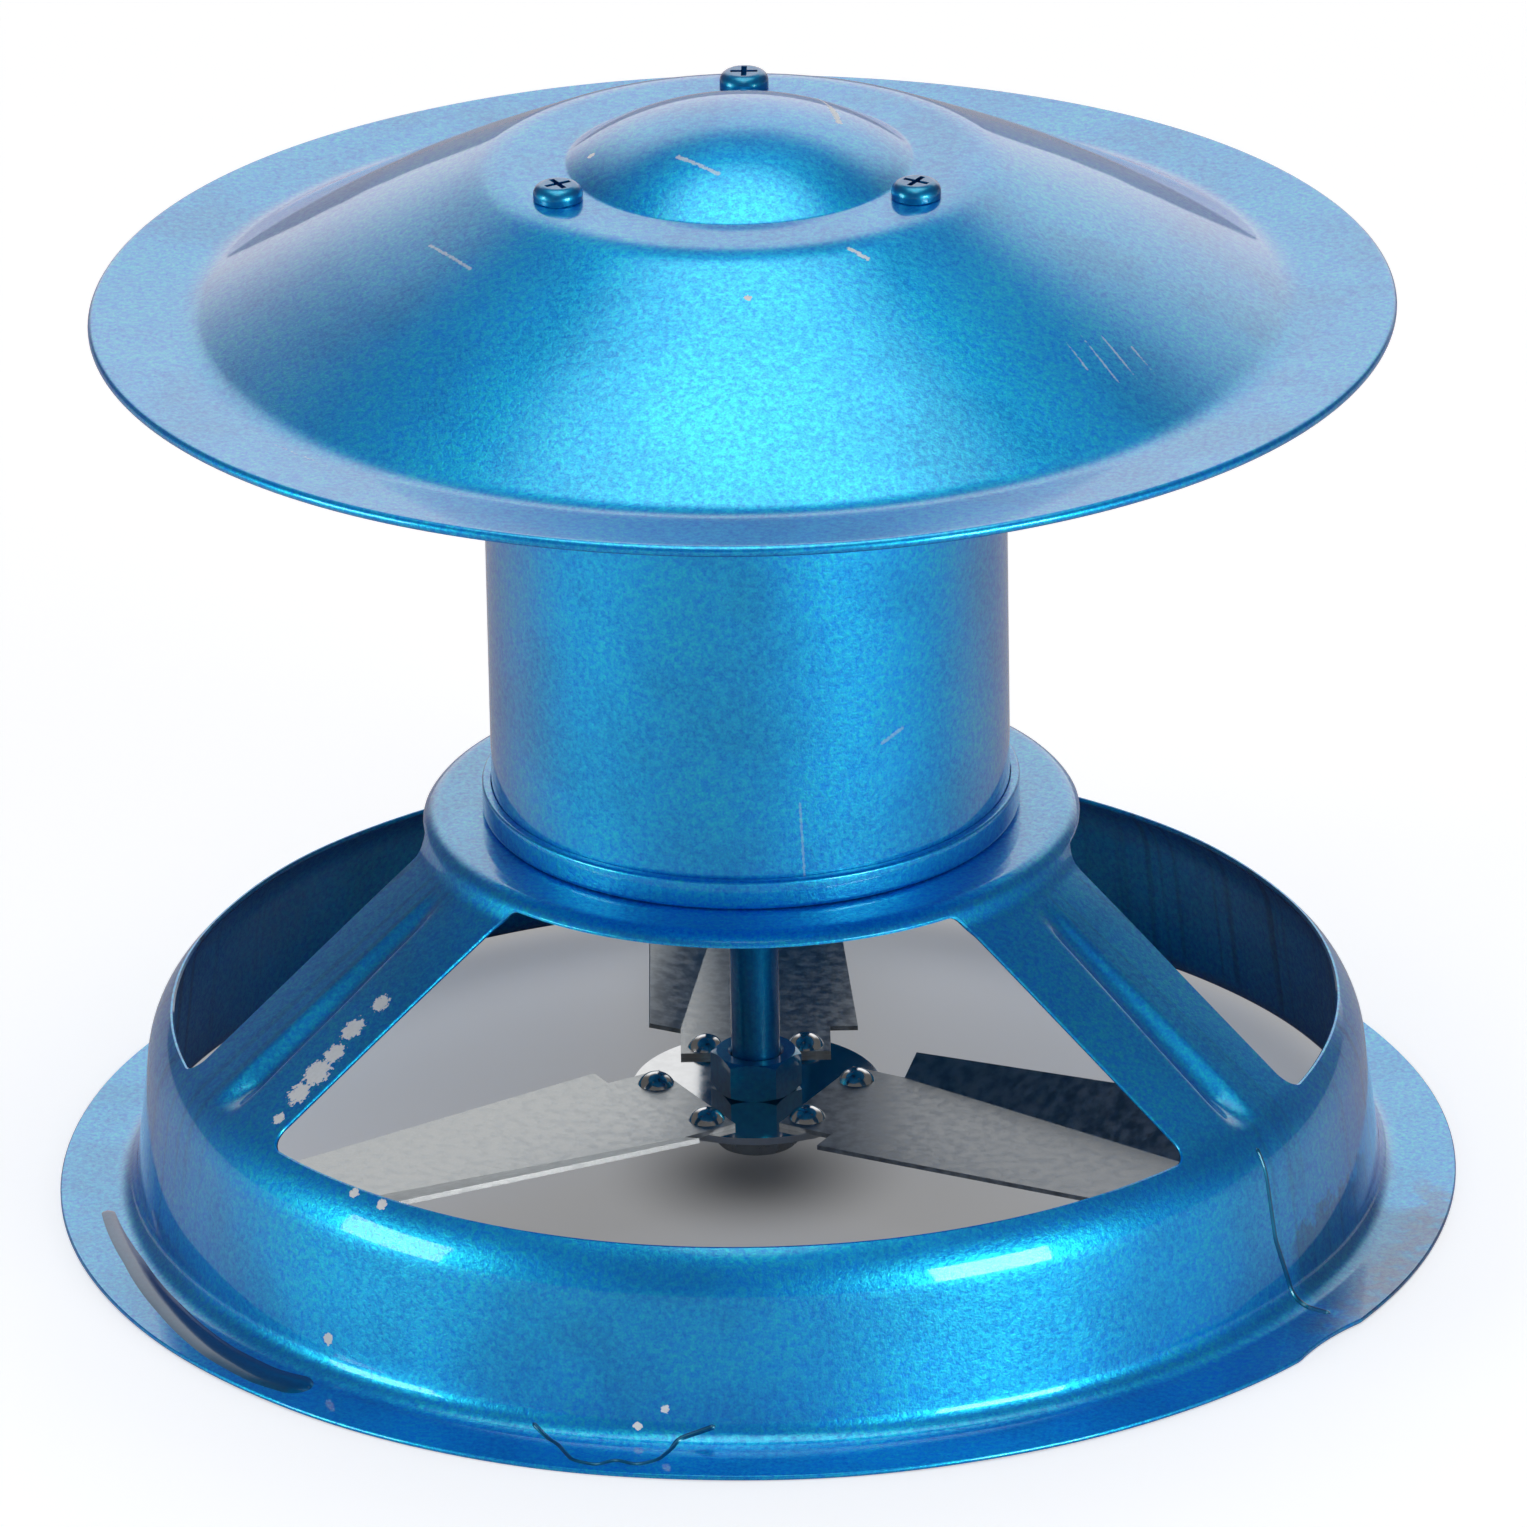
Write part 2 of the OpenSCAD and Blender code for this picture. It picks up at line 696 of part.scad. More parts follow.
module coil(index) {
    inner = stator_inner_r + shoe_t + paper_gap;
    half_in = pole_neck_w / 2 + paper_gap;
    half_out = half_in + coil_side;
    outer = sqrt(pow(yoke_inner_d / 2 - paper_gap, 2) - half_out * half_out);
    color(copper)
        rotate([0, 0, pole_first + (index - 1) * 360 / pole_count])
            translate([inner, 0, stack_low_h])
                rotate([90, 0, 90])
                    linear_extrude(outer - inner)
                        difference() {
                            polygon(coil_outline(half_out, paper_gap + coil_end, coil_side * 0.8));
                            polygon(coil_outline(half_in, paper_gap, 0.6));
                        }
}

// Rectangle round the stack with rounded corners, reaching past each of its ends
function coil_outline(half, reach, r) =
    let (low = -reach,
         high = stack_len + reach,
         c = [[-half, low], [half, low], [half, high], [-half, high]])
    [for (i = [0 : 3]) each bend(c[(i + 3) % 4], c[i], c[(i + 1) % 4], r)];

// One copper ring round the trailing part of each pole shoe: a bar through the shoe, a bar along
// its edge, and a bridge at each end
module shading_rings() {
    inside = polar(stator_inner_r + shoe_t / 2, shoe_half_angle * 0.6);
    outside = polar(stator_inner_r + shoe_t, shoe_half_angle);
    color(copper)
        translate([0, 0, stack_low_h])
            around(pole_count, pole_first) {
                for (p = [inside, outside])
                    translate([p.x, p.y, -shading_bar])
                        cylinder(h = stack_len + 2 * shading_bar, d = shading_bar);
                for (z = [-shading_bar, stack_len])
                    translate([inside.x, inside.y, z])
                        rotate([0, 0, atan2(outside.y - inside.y, outside.x - inside.x)])
                            translate([0, -shading_bar / 2, 0])
                                cube([norm(outside - inside), shading_bar, shading_bar]);
            }
}

// Rotor

bar_circle_r = rotor_d / 2 - cage_skin - cage_bar_d / 2;

module rotor_core() {
    color(dark_steel)
        translate([0, 0, stack_low_h])
            linear_extrude(stack_len)
                difference() {
                    circle(r = rotor_d / 2);
                    circle(r = (shaft_body_d + shaft_slack) / 2);
                    around(cage_bars, 0)
                        translate([bar_circle_r, 0])
                            circle(d = cage_bar_d);
                }
}

module rotor_cage() {
    color(cast_grey) {
        around(cage_bars, 0)
            translate([bar_circle_r, 0, stack_low_h])
                cylinder(h = stack_len, d = cage_bar_d);
        for (z = [stack_low_h - cage_ring_h, stack_low_h + stack_len])
            ring(z, cage_ring_h, rotor_d / 2 - cage_skin / 2, rotor_d / 2 - cage_skin / 2 - cage_ring_w);
    }
}

module shaft() {
    r = shaft_d / 2;
    top = upper_bearing_h + bearing_w + 0.6;
    low_step = lower_bearing_h + bearing_w;
    color(paint_blue)
        rotate_extrude()
            polygon([[0, shaft_end_h], [r - shaft_chamfer, shaft_end_h], [r, shaft_end_h + shaft_chamfer],
                [r, low_step], [shaft_body_d / 2, low_step], [shaft_body_d / 2, upper_bearing_h],
                [r, upper_bearing_h], [r, top - shaft_chamfer], [r - shaft_chamfer, top], [0, top]]);
}

// Ball bearings, each standing on height z

race_r = ball_d / 2 + ball_play;
ball_mid = bearing_w / 2;

module bearing_ring(z, r_out, r_in) {
    color(bright_steel)
        translate([0, 0, z])
            rotate_extrude()
                difference() {
                    translate([r_in, 0])
                        square([r_out - r_in, bearing_w]);
                    translate([ball_circle_d / 2, ball_mid])
                        circle(r = race_r);
                }
}

module bearing_outer_ring(z) {
    bearing_ring(z, bearing_d / 2, ball_circle_d / 2 + race_r - race_depth);
}

module bearing_inner_ring(z) {
    bearing_ring(z, ball_circle_d / 2 - race_r + race_depth, hub_bore_r);
}

module bearing_balls(z) {
    color(bright_steel)
        around(ball_count, 0)
            translate([ball_circle_d / 2, 0, z + ball_mid])
                sphere(d = ball_d);
}

module bearing_cage(z) {
    width = race_r - race_depth - 2 * slip;
    color(zinc)
        difference() {
            ring(z + ball_mid - cage_h / 2, cage_h, (ball_circle_d + width) / 2, (ball_circle_d - width) / 2);
            around(ball_count, 0)
                translate([ball_circle_d / 2, 0, z + ball_mid])
                    sphere(d = ball_d + slip);
        }
}

module lower_bearing_outer_ring() {
    bearing_outer_ring(lower_bearing_h);
}

module lower_bearing_inner_ring() {
    bearing_inner_ring(lower_bearing_h);
}

module lower_bearing_balls() {
    bearing_balls(lower_bearing_h);
}

module lower_bearing_cage() {
    bearing_cage(lower_bearing_h);
}

module upper_bearing_outer_ring() {
    bearing_outer_ring(upper_bearing_h);
}

module upper_bearing_inner_ring() {
    bearing_inner_ring(upper_bearing_h);
}

module upper_bearing_balls() {
    bearing_balls(upper_bearing_h);
}

module upper_bearing_cage() {
    bearing_cage(upper_bearing_h);
}

// Dished ring between the upper bearing's outer ring and the boss's roof
module wave_washer() {
    r_out = pocket_r - slip;
    r_in = r_out - 2;
    z = upper_bearing_h + bearing_w;
    color(bright_steel)
        rotate_extrude()
            polygon([[r_out - 0.4, z], [r_out, z], [r_out, z + wave_t], [r_in + 0.4, z + wave_room],
                [r_in, z + wave_room], [r_in, z + wave_room - wave_t]]);
}

// Fan

module rivet_holes(z, h, d) {
    around(blade_count, first_leg + fan_turn)
        for (side = [-1, 1])
            rotate([0, 0, side * rivet_half_angle])
                translate([rivet_pcd / 2, 0, z])
                    cylinder(h = h, d = d);
}

module hub_plate() {
    color(bright_steel)
        difference() {
            ring(hub_low_h, hub_t, hub_d / 2, hub_bore_r);
            rivet_holes(hub_low_h - past, hub_t + 2 * past, rivet_d);
        }
}

// A blade along +X, its underside on the hub plate: a sheet folded along the crease, which runs from
// the shoulder to the tip, and trimmed to the outlines of its flat and its flap
module blade(index) {
    root = [shoulder_x, neck_w / 2];
    tip = [tip_r, crease_tip];
    crease_angle = atan2(tip.y - root.y, tip.x - root.x);
    fold_angle = fold_angles[index - 1];
    color(zinc)
        difference() {
            rotate([0, 0, first_leg + fan_turn + (index - 1) * 360 / blade_count])
                translate([0, 0, hub_h])
                    intersection() {
                        translate([root.x, root.y, blade_t])
                            rotate([90, 0, 90 + crease_angle])
                                translate([0, 0, -shoulder_x])
                                    linear_extrude(tip_r + shoulder_x)
                                        polygon(sheet([[-tip_r, 0], [0, 0], polar(tip_r, fold_angle)],
                                            [0, fold_r, 0], blade_t));
                        union() {
                            translate([0, 0, -past])
                                linear_extrude(blade_t + 2 * past)
                                    polygon([[neck_start, -neck_w / 2], [shoulder_x, -neck_w / 2],
                                        [shoulder_x, -plain_edge_root], [tip_r, -plain_edge_tip],
                                        tip + [0, past], root + [0, past], root, [neck_start, neck_w / 2]]);
                            translate([root.x, root.y, blade_t])
                                rotate([0, 0, crease_angle])
                                    rotate([fold_angle, 0, 0])
                                        rotate([0, 0, -crease_angle])
                                            translate([-root.x, -root.y, -blade_t - past])
                                                linear_extrude(blade_t + 2 * past)
                                                    polygon([root, tip, [tip_r, fold_edge],
                                                        [shoulder_x, fold_edge]]);
                        }
                    }
            rivet_holes(hub_h - past, blade_t + 2 * past, rivet_d);
        }
}

module blade_rivets() {
    head_r = (rivet_head_d * rivet_head_d / 4 + rivet_head_h * rivet_head_h) / (2 * rivet_head_h);
    color(zinc) {
        rivet_holes(hub_low_h, blade_top_h - hub_low_h, rivet_d);
        rivet_holes(hub_low_h - rivet_tail_h, rivet_tail_h, rivet_tail_d);
        around(blade_count, first_leg + fan_turn)
            for (side = [-1, 1])
                rotate([0, 0, side * rivet_half_angle])
                    translate([rivet_pcd / 2, 0, blade_top_h])
                        intersection() {
                            translate([0, 0, rivet_head_h - head_r])
                                sphere(r = head_r);
                            cylinder(h = rivet_head_h, d = rivet_head_d);
                        }
    }
}

module upper_hub_nut() {
    color(paint_blue)
        translate([0, 0, hub_h])
            hex_nut(hub_nut_af, hub_nut_h, hub_bore_r);
}

module spring_washer() {
    color(zinc)
        difference() {
            ring(hub_low_h - spring_washer_t, spring_washer_t, spring_washer_d / 2, hub_bore_r + slip);
            translate([0, -spring_washer_slit / 2, hub_low_h - spring_washer_t - past])
                cube([spring_washer_d, spring_washer_slit, spring_washer_t + 2 * past]);
        }
}

module lower_hub_nut() {
    color(zinc)
        translate([0, 0, hub_low_h - spring_washer_t - hub_nut_h])
            hex_nut(hub_nut_af, hub_nut_h, hub_bore_r);
}

base_shell();
lower_end_cover();
casing();
upper_end_cover();
cap();
tie_screws();
tie_washers();
tie_nuts();
stator_core();
coil(1);  // coil_1
coil(2);  // coil_2
coil(3);  // coil_3
coil(4);  // coil_4
shading_rings();
cable_grommet();
lower_bearing_outer_ring();
lower_bearing_balls();
lower_bearing_cage();
upper_bearing_outer_ring();
upper_bearing_balls();
upper_bearing_cage();
wave_washer();
shaft();
rotor_core();
rotor_cage();
lower_bearing_inner_ring();
upper_bearing_inner_ring();
hub_plate();
blade(1);  // fan_blade_1
blade(2);  // fan_blade_2
blade(3);  // fan_blade_3
blade_rivets();
upper_hub_nut();
spring_washer();
lower_hub_nut();
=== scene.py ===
import json
import math

import bpy
import numpy as np
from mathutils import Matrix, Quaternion, Vector


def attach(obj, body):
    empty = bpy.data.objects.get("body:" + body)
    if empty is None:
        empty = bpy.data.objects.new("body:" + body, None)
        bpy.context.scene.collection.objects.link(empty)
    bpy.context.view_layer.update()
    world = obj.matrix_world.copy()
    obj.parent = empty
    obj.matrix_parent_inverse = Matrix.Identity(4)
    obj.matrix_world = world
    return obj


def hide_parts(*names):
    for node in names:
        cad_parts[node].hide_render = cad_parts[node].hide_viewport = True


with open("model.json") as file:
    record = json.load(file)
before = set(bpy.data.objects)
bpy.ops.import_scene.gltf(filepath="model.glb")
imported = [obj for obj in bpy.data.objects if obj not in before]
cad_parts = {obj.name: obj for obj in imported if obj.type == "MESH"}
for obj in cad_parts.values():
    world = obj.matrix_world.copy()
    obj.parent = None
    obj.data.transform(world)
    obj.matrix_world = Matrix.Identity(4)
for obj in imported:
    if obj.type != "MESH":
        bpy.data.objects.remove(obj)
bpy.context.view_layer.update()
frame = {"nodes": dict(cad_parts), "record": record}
scene = bpy.context.scene
scene.view_settings.view_transform = "Standard"

# Camera: a long lens a little to the right of the front leg gap, 25 degrees above the flue, and
# turned by one degree as in the photograph. All lengths below are in millimetres unless noted.
MM = 0.001
camera = bpy.data.objects.new("camera", bpy.data.cameras.new("camera"))
scene.collection.objects.link(camera)
camera.location = Vector((171.3, -2177.0, 1031.3)) * MM
aim = Vector((2.1, 0.2, 73.1)) * MM - camera.location
camera.rotation_mode = "QUATERNION"
camera.rotation_quaternion = aim.to_track_quat("-Z", "Y") @ Quaternion((0, 0, 1), math.radians(-1.03))
camera.data.lens = 345.0
camera.data.sensor_width = 36.0
camera.data.clip_start, camera.data.clip_end = 0.1, 50.0
scene.camera = camera


class Wire:
    """A shader socket that takes + - * / and feeds any node."""

    def __init__(self, tree, socket):
        self.tree, self.socket = tree, socket

    def node(self, kind, inputs={}, out=0, **settings):
        """Adds a node; inputs go by name or number, and the wire from its socket out comes back."""
        made = self.tree.nodes.new(kind)
        for name, value in settings.items():
            setattr(made, name, value)
        for key, value in inputs.items():
            if isinstance(value, Wire):
                self.tree.links.new(value.socket, made.inputs[key])
            else:
                made.inputs[key].default_value = value
        return Wire(self.tree, made.outputs[out]) if made.outputs else None

    def math(self, kind, other=0.0, third=0.0, **settings):
        return self.node("ShaderNodeMath", {0: self, 1: other, 2: third}, operation=kind, **settings)

    def __add__(self, other):
        return self.math("ADD", other)

    def __sub__(self, other):
        return self.math("SUBTRACT", other)

    def __mul__(self, other):
        return self.math("MULTIPLY", other)

    def __truediv__(self, other):
        return self.math("DIVIDE", other)

    def __rsub__(self, other):
        return self * -1.0 + other

    __radd__, __rmul__ = __add__, __mul__

    def step(self, low, high, start=0.0, end=1.0):
        """Smooth step from start to end while the value goes from low to high."""
        return self.node("ShaderNodeMapRange", {0: self, 1: low, 2: high, 3: start, 4: end},
            interpolation_type="SMOOTHSTEP")

    def colour(self, a, b):
        """Colour a where the value is 0, colour b where it is 1."""
        full = lambda c: c if isinstance(c, Wire) else (*c, 1.0)
        return self.node("ShaderNodeMix", {0: self, 6: full(a), 7: full(b)}, out=2, data_type="RGBA")

    def shaders(self, a, b):
        return self.node("ShaderNodeMixShader", {0: self, 1: a, 2: b})

    def bump(self, height, strength=1.0):
        """Normal for a height in millimetres."""
        return self.node("ShaderNodeBump", {"Height": self, "Distance": MM * height, "Strength": strength})

    def vector(self, kind, other, out=0):
        return self.node("ShaderNodeVectorMath", {0: self, 1: other}, out=out, operation=kind)

    def to_line(self, a, b):
        """Distance from the stretch between points a and b."""
        a, b = Vector(a), Vector(b)
        start = self.vector("SUBTRACT", a)
        share = start.vector("DOT_PRODUCT", (b - a) / (b - a).length_squared, out="Value").math("MAXIMUM", 0.0)
        along = share.math("MINIMUM", 1.0)
        foot = along.node("ShaderNodeCombineXYZ", {0: along, 1: along, 2: along}).vector("MULTIPLY", b - a)
        return start.vector("DISTANCE", foot, out="Value")

    def part(self, axis):
        return self.node("ShaderNodeSeparateXYZ", {0: self}, out=axis)

    def band(self, low, high, soft):
        """1 between low and high, fading to 0 over the width soft on both sides."""
        return self.step(low - soft, low) * (1.0 - self.step(high, high + soft))

    def noise(self, scale, detail=2.0, rough=0.5):
        """Noise with this many cells to a millimetre, about 0.5 on average."""
        return self.node("ShaderNodeTexNoise", {"Vector": self, "Scale": scale, "Detail": detail,
            "Roughness": rough})

    def principled(self, **inputs):
        return self.node("ShaderNodeBsdfPrincipled", {k.replace("_", " "): v for k, v in inputs.items()})


def material(name):
    """A new material and its object coordinates in millimetres."""
    made = bpy.data.materials.new(name)
    made.use_nodes = True
    made.node_tree.nodes.clear()
    start = Wire(made.node_tree, None)
    place = start.node("ShaderNodeTexCoord", out="Object").vector("MULTIPLY", (1000.0,) * 3)
    return made, place


def finish_material(made, shader):
    shader.node("ShaderNodeOutputMaterial", {"Surface": shader})
    return made


# Studio: a pale floor whose glow for the camera makes it white outside the flange; within the ring
# the glow is lower and lowest under the hub, painted shade and a painted hub shadow on top of the
# cast shadow. A surround that is white behind and dim on the camera's side, two soft patches
# overhead, and two low soft boxes, right and left.
floor_mat, place = material("studio_floor")
camera_ray = place.node("ShaderNodeLightPath", out="Is Camera Ray")
flat = place.vector("MULTIPLY", (1.0, 1.0, 0.0)).vector("LENGTH", (0.0, 0.0, 0.0), out="Value")
# Painted shade: the camera glow drops within the base ring and nearly vanishes under the hub, so part of the floor's
# shade there is painted, not cast.
camera_glow_with_painted_shade = camera_ray * (flat.step(2.0, 28.0, 0.03, 0.25) + flat.step(96.0, 120.0) * 0.375)
finish_material(floor_mat, place.principled(Base_Color=(0.62, 0.62, 0.64, 1.0), Roughness=0.9,
    Emission_Color=camera_glow_with_painted_shade.colour((0.0, 0.0, 0.0), (1.0, 1.0, 1.0)), Emission_Strength=1.0, Specular_IOR_Level=0.2))
floor_mesh = bpy.data.meshes.new("floor")
floor_mesh.from_pydata([(x, y, -0.0002) for x, y in ((-6, -6), (6, -6), (6, 6), (-6, 6))], [], [(0, 1, 2, 3)])
floor_mesh.materials.append(floor_mat)
floor = bpy.data.objects.new("floor", floor_mesh)
scene.collection.objects.link(floor)

world = bpy.data.worlds.new("studio")
scene.world = world
world.use_nodes = True
world.node_tree.nodes.clear()
sky = Wire(world.node_tree, None)
path = sky.node("ShaderNodeLightPath", out="Is Camera Ray")
seen = path.node("ShaderNodeLightPath", out="Is Transmission Ray") + path
way = sky.node("ShaderNodeTexCoord", out="Generated")
across = way.part("X").math("ABSOLUTE").step(0.3, 0.6)
behind = way.part("Y").step(0.0, 0.3)
above = way.part("Z").step(0.5, 0.72)
level = behind * (1.0 - above) * (1.0 - across) * 1.0 + 0.1
for direction, inner, outer, strength in (((0.0, 0.1, 1.0), 8.0, 29.0, 2.3), ((0.0, -0.4, 0.92), 4.0, 16.0, 1.8)):
    closeness = way.vector("DOT_PRODUCT", Vector(direction).normalized(), out="Value")
    level += closeness.step(math.cos(math.radians(outer)), math.cos(math.radians(inner))) * strength
level = (1.0 - seen) * level + seen
backdrop = level.node("ShaderNodeBackground", {"Color": (1.0, 1.0, 1.0, 1.0), "Strength": level})
backdrop.node("ShaderNodeOutputWorld", {"Surface": backdrop})


def soft_box(name, azimuth, elevation, distance, width, height, radiance):
    """An area light that faces the object from this direction; distances in metres."""
    lamp = bpy.data.lights.new(name, "AREA")
    lamp.shape, lamp.size, lamp.size_y = "RECTANGLE", width, height
    lamp.energy = radiance * math.pi * width * height
    made = bpy.data.objects.new(name, lamp)
    a, e = math.radians(azimuth), math.radians(elevation)
    made.location = Vector((math.sin(a) * math.cos(e), -math.cos(a) * math.cos(e), math.sin(e))) * distance
    made.location.z += 0.08
    made.rotation_mode = "QUATERNION"
    made.rotation_quaternion = (Vector((0, 0, 0.08)) - made.location).to_track_quat("-Z", "Y")
    made.visible_camera = False
    scene.collection.objects.link(made)
    return made


soft_box("soft_box_right", 46, 7, 2.0, 0.8, 0.6, 11.0)
soft_box("soft_box_left", -64, 8, 2.0, 0.8, 0.7, 6.0)


# Folded sheet: the sections of base and cap are worked out from the same corners and bend radii as
# in the solid, and meshed finely, because the pressings mirror the studio.
def unit(v):
    return v / np.hypot(*v)


def fold(corners, radii):
    """Dense points (r, z) of a sheet's outer face, the outward normals, and the length run.

    Straight stretches join arcs. The arc at a corner has the given radius and touches both
    stretches, so its centre lies radius * tan(turn / 2) back from the corner and a radius aside.
    The normal is the direction of travel turned a quarter to the left.
    """
    corners = np.array(corners, float)
    left = lambda v: np.array((-v[1], v[0]))
    points, normals = [corners[0]], [left(unit(corners[1] - corners[0]))]
    for a, b, c, r in zip(corners, corners[1:], corners[2:], radii):
        u, w = unit(b - a), unit(c - b)
        turn = math.atan2(u[0] * w[1] - u[1] * w[0], u @ w)
        r = math.copysign(r, turn)
        centre = b - u * r * math.tan(turn / 2) + left(u) * r
        for t in np.linspace(0, turn, max(3, int(abs(turn) / 0.03))):
            n = left(u) * math.cos(t) - u * math.sin(t)
            points.append(centre - n * r)
            normals.append(n)
    points.append(corners[-1])
    normals.append(left(unit(corners[-1] - corners[-2])))
    points, normals = np.array(points), np.array(normals)
    run = np.concatenate([[0], np.cumsum(np.hypot(*np.diff(points, axis=0).T))])
    return run, points, normals


def at(path, s):
    """Point and normal of a folded sheet at run length s."""
    run, points, normals = path
    p = np.stack([np.interp(s, run, points[:, k]) for k in (0, 1)], -1)
    n = np.stack([np.interp(s, run, normals[:, k]) for k in (0, 1)], -1)
    return p, n / np.linalg.norm(n, axis=-1, keepdims=True)


def rows(path, start, end, gap, turn=5.0):
    """Run lengths from start to end, no more than gap apart, and closer where the sheet bends."""
    s = np.linspace(start, end, 4000)
    n = at(path, s)[1]
    bend = np.degrees(np.arccos(np.clip((n[1:] * n[:-1]).sum(1), -1, 1)))
    cost = np.concatenate([[0], np.cumsum(np.diff(s) / gap + bend / turn)])
    return np.interp(np.linspace(0, cost[-1], int(cost[-1]) + 2), cost, s)


def quads(ids, flip=False):
    """Faces of a grid of vertex numbers; a face whose first edge has no length becomes a triangle."""
    q = np.stack([ids[:-1, :-1], ids[:-1, 1:], ids[1:, 1:], ids[1:, :-1]], -1).reshape(-1, 4)
    q = q[:, ::-1] if flip else q
    return [[v for k, v in enumerate(f) if v != f[k - 1]] for f in q.tolist()]


def wrapped(ids):
    return np.concatenate([ids, ids[:, :1]], 1)


def build(name, points, faces, mat, body, replaces=(), sharp=None):
    """A smooth-shaded mesh from points in millimetres; it rides on a CAD body."""
    mesh = bpy.data.meshes.new(name)
    mesh.from_pydata((np.asarray(points) * MM).tolist(), [], faces)
    mesh.polygons.foreach_set("use_smooth", [True] * len(mesh.polygons))
    if sharp:
        mesh.set_sharp_from_angle(angle=math.radians(sharp))
    mesh.materials.append(mat)
    mesh.update()
    made = bpy.data.objects.new(name, mesh)
    scene.collection.objects.link(made)
    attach(made, body)
    if replaces:
        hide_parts(*replaces)
    return made


# Paint: blue metallic over pressed steel. Two mixed finishes give its change of hue, deep blue in
# the shade and cyan where light hits the flakes, under one clear coat; chips show the pale primer.
def paint(name, chips=(), scratches=(), dark=None, stain=None, depth=1.0, grain=1.0):
    """chips are (point, size) and scratches (point, point, width, strength), all in millimetres.

    dark and stain take the place and give a share from 0 to 1 of darkening, which is darker paint
    and also painted shade, and of brown film; depth scales the flakes' brightness and grain how much they sparkle.
    """
    made, place = material(name)
    coarse = place.noise(0.05, 2.0)
    mottle = place.noise(1.1, 3.0, 0.65)
    flake = place.noise(3.0, 1.0, 0.5)
    light = mottle.step(0.25, 0.75, 0.93, 1.07) * coarse.step(0.3, 0.7, 0.9, 1.08) * depth
    # dark can carry painted shade as well as darker paint.
    if dark:
        light = light * (1.0 - dark(place) * 0.75)
    facing = place.node("ShaderNodeLayerWeight", {"Blend": 0.5}, out="Facing")

    def tone(colour):
        full = light.node("ShaderNodeCombineXYZ", {0: light, 1: light, 2: light}).vector("MULTIPLY", colour)
        return stain(place).colour(full, (0.20, 0.13, 0.18)) if stain else full

    both = dict(Coat_Weight=facing.step(0.3, 0.58, 0.32, 1.0), Coat_Roughness=0.05, Coat_IOR=1.9,
        Normal=(mottle * 0.7 + flake * 0.3).bump(0.14 * grain, 0.6), Specular_Tint=(1.0, 0.3, 0.35, 1.0), Metallic=1.0)
    deep = place.principled(Base_Color=tone((0.0, 0.18, 1.0)), Roughness=0.62, **both)
    bright = place.principled(Base_Color=tone((0.03, 0.88, 1.0)), Roughness=0.38, **both)
    sparkle = (mottle.step(0.32, 0.68) - 0.5) * 0.3 + (flake.step(0.3, 0.7) - 0.5) * 0.22
    shader = (sparkle * grain + 0.48).shaders(deep, bright)
    ragged = place.noise(1.5, 3.0, 0.6)
    bare = None
    for point, size in chips:
        away = place.vector("DISTANCE", point, out="Value") / size
        spot = ((1.0 - away) * 0.7 + ragged).step(0.62, 0.68)
        bare = spot if bare is None else bare.math("MAXIMUM", spot)
    for a, b, width, strength in scratches:
        away = place.to_line(a, b) / width
        spot = ((1.0 - away) * 0.5 + ragged).step(0.5, 0.75, 0.0, strength)
        bare = spot if bare is None else bare.math("MAXIMUM", spot)
    if bare:
        primer = place.principled(Base_Color=ragged.colour((0.78, 0.80, 0.80), (0.92, 0.95, 0.97)), Roughness=0.5)
        shader = bare.shaders(shader, primer)
    return finish_material(made, shader)


def polar(r, azimuth, z=0.0):
    a = math.radians(azimuth)
    return (r * math.cos(a), r * math.sin(a), z)


SHEET = 0.8
base_path = fold([(10, 66.5), (52.742, 66.5), (54.7, 62.3), (99.2, 29.3), (102.75, 0.8), (115, 0.8)],
    [3.5, 4, 14, 4])
base_r = base_path[1][:, 0]


def base_point(xy, depth):
    """The base at plan positions xy, depth below its upper face along the normal.

    The plan radius gives the section's point and normal. A groove runs down each leg: its floor
    lies g below the face, where g falls from the middle line to the lip as (1 - (y / w)^2)^1.5.
    The flange's edge is pushed in by up to 1.2 where it is dented, and low waves stand for the
    unevenness of a pressing.
    """
    r = np.hypot(*xy.T)
    angle = np.arctan2(xy[:, 1], xy[:, 0])
    s = np.interp(r, base_r, base_path[0])
    p, n = at(base_path, s)
    lift = np.zeros(len(r))
    for k in range(3):
        a = math.radians(90 + 120 * k)
        x, y = xy @ (math.cos(a), math.sin(a)), xy @ (-math.sin(a), math.cos(a))
        along = np.clip((x - 57.5) / 36.0, 0, 1)
        g = (0.9 + 1.0 * along) * np.clip((x - 56.5) / 5, 0, 1) ** 0.8 * np.clip((96.0 - x) / 6, 0, 1)
        w = 2.4 + 1.2 * along
        lift -= np.where(x > 0, g * np.clip(1 - (y / w) ** 2, 0, 1) ** 1.5, 0)
    wave = 0.05 * np.sin(5 * angle + 1.0) + 0.04 * np.sin(11 * angle + s * 0.05) + 0.03 * np.sin(17 * angle - s * 0.11)
    lift += wave * np.clip((r - 56) / 10, 0, 1)
    aside = np.abs((angle - math.radians(-32.5) + math.pi) % (2 * math.pi) - math.pi) * 115
    push = 1.2 * np.clip(1 - (aside / 8.5) ** 2, 0, 1) * np.clip((r - 110.5) / 4.5, 0, 1)
    lift = lift - depth
    r2, z = p[:, 0] + n[:, 0] * lift - push, p[:, 1] + n[:, 1] * lift
    return np.stack([r2 * np.cos(angle), r2 * np.sin(angle), z], 1)


